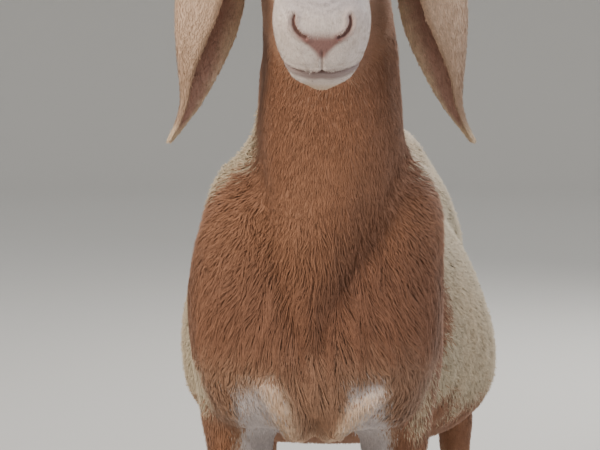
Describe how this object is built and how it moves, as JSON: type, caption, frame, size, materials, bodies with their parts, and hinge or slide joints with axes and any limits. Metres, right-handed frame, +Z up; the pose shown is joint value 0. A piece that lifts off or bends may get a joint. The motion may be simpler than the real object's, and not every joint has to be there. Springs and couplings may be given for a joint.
{
  "type": "arashan sheep, still life-size model",
  "caption": "Life-size still model of a hornless fat-rumped sheep with long hanging ears, standing square with its head up.",
  "frame": {"origin": "on the floor, under the middle of the whole animal's box", "axes": "+Z up, the nose points along -Y, the animal's left side is on +X"},
  "size_m": [0.4242, 1.1572, 1.0535],
  "materials": {
    "white_coat": "short dense off-white hair, slightly woolly on back and flanks",
    "ginger_coat": "short ginger-brown hair, longer on the breast",
    "hoof_horn": "dark brown horn, dull",
    "eye": "wet amber eye with a level slit pupil"
  },
  "bodies": {
    "root": {"torso": "white_coat", "neck": "ginger_coat", "head": "white_coat", "fat_rump": "white_coat", "ear_left": "white_coat", "ear_right": "white_coat", "eye_left": "eye", "eye_right": "eye", "foreleg_left": "ginger_coat", "foreleg_right": "ginger_coat", "hind_leg_left": "ginger_coat", "hind_leg_right": "ginger_coat", "claw_foreleg_left_left": "hoof_horn", "claw_foreleg_left_right": "hoof_horn", "claw_foreleg_right_left": "hoof_horn", "claw_foreleg_right_right": "hoof_horn", "claw_hind_leg_left_left": "hoof_horn", "claw_hind_leg_left_right": "hoof_horn", "claw_hind_leg_right_left": "hoof_horn", "claw_hind_leg_right_right": "hoof_horn"}
  },
  "joints": []
}
